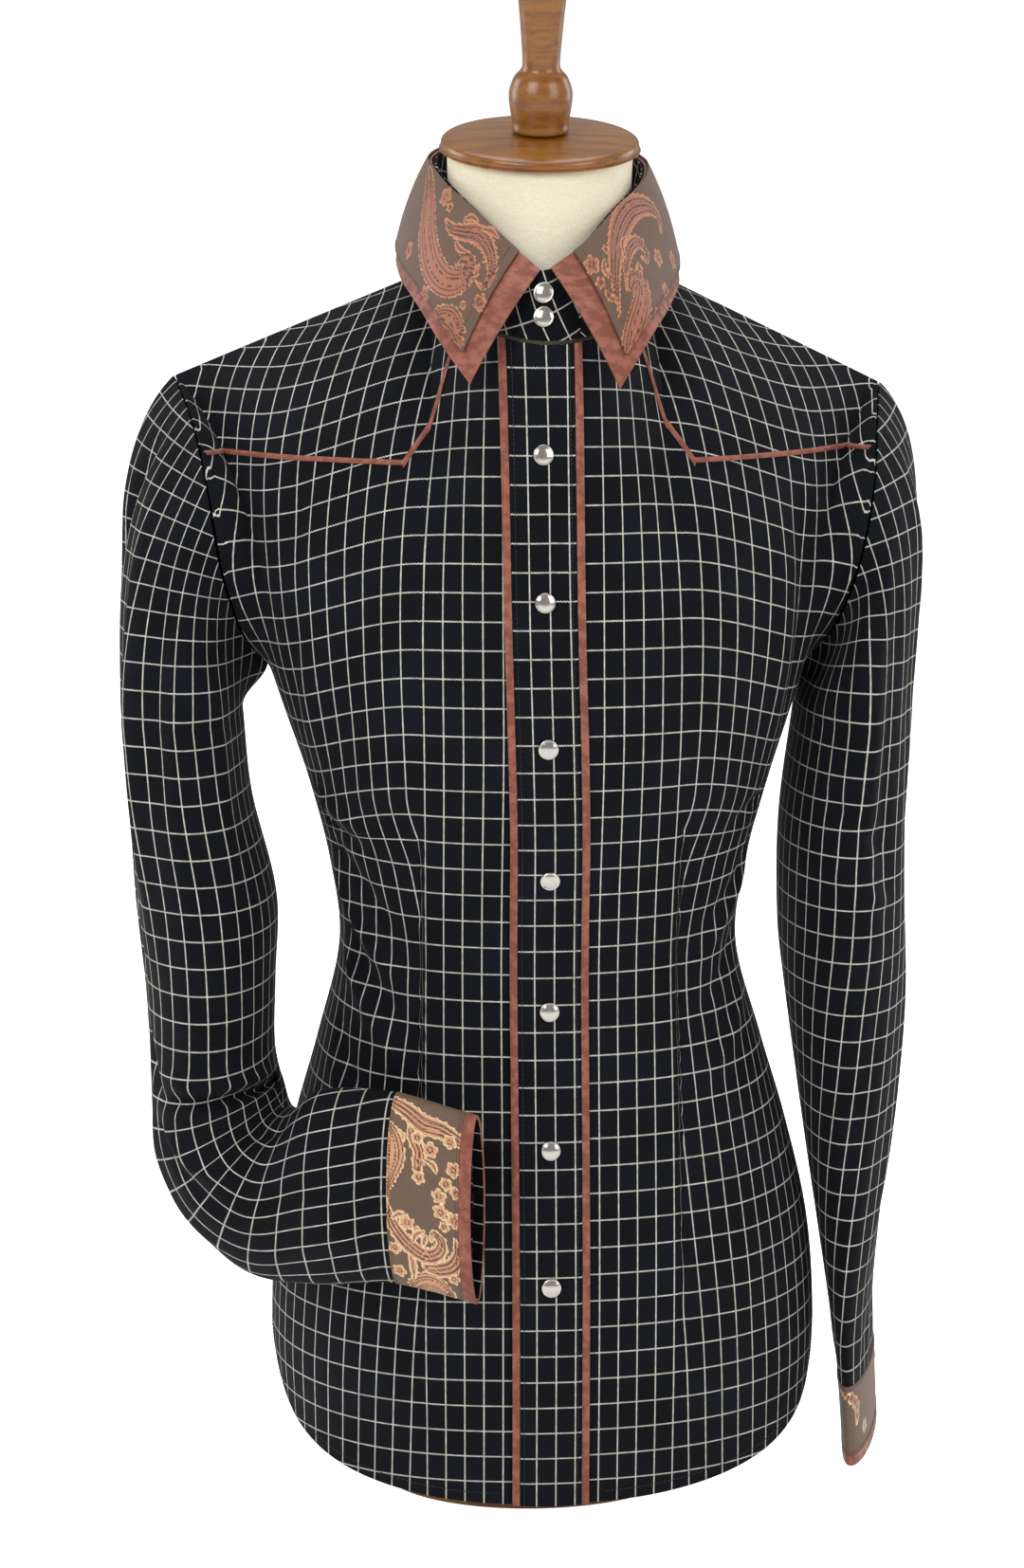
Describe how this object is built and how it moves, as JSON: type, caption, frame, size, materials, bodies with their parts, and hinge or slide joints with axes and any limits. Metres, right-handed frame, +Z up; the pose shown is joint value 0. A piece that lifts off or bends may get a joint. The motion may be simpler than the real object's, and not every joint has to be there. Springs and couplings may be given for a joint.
{
  "type": "western snap shirt on a limbless dress form",
  "caption": "Fitted western shirt with paisley collar and cuffs, piped yokes and snap placket, worn on a limbless linen dress form with a turned wood neck cap.",
  "frame": {"origin": "on the floor plane, on the underside of the foot, under the middle of the neck", "axes": "+Z up along the form, front of the shirt towards -Y, the wearer's left side towards +X"},
  "size_m": [0.4595, 0.2616, 0.9082],
  "materials": {
    "check_twill": "matt near-black twill with a fine off-white check",
    "rust_brocade": "low-sheen mottled rust brocade",
    "paisley_brocade": "low-sheen brown and copper paisley brocade",
    "snap_metal": "polished nickel silver",
    "linen": "matt cream linen",
    "turned_wood": "satin varnished turned wood"
  },
  "bodies": {
    "root": {"back": "check_twill", "collar_stand": "check_twill", "front_left": "check_twill", "front_right": "check_twill", "placket": "check_twill", "sleeve_left": "check_twill", "sleeve_right": "check_twill", "yoke_back": "check_twill", "yoke_front_left": "check_twill", "yoke_front_right": "check_twill", "collar_under": "rust_brocade", "cuff_binding_left": "rust_brocade", "cuff_binding_right": "rust_brocade", "placket_piping_left": "rust_brocade", "placket_piping_right": "rust_brocade", "yoke_piping_back": "rust_brocade", "yoke_piping_left": "rust_brocade", "yoke_piping_right": "rust_brocade", "collar_top": "paisley_brocade", "cuff_left": "paisley_brocade", "cuff_right": "paisley_brocade", "cuff_snap_left": "snap_metal", "cuff_snap_right": "snap_metal", "stand_snap_1": "snap_metal", "stand_snap_2": "snap_metal", "snap_1": "snap_metal", "snap_2": "snap_metal", "snap_3": "snap_metal", "snap_4": "snap_metal", "snap_5": "snap_metal", "snap_6": "snap_metal", "snap_7": "snap_metal", "form_body": "linen", "neck_cap": "turned_wood", "finial": "turned_wood", "foot": "turned_wood"}
  },
  "joints": []
}
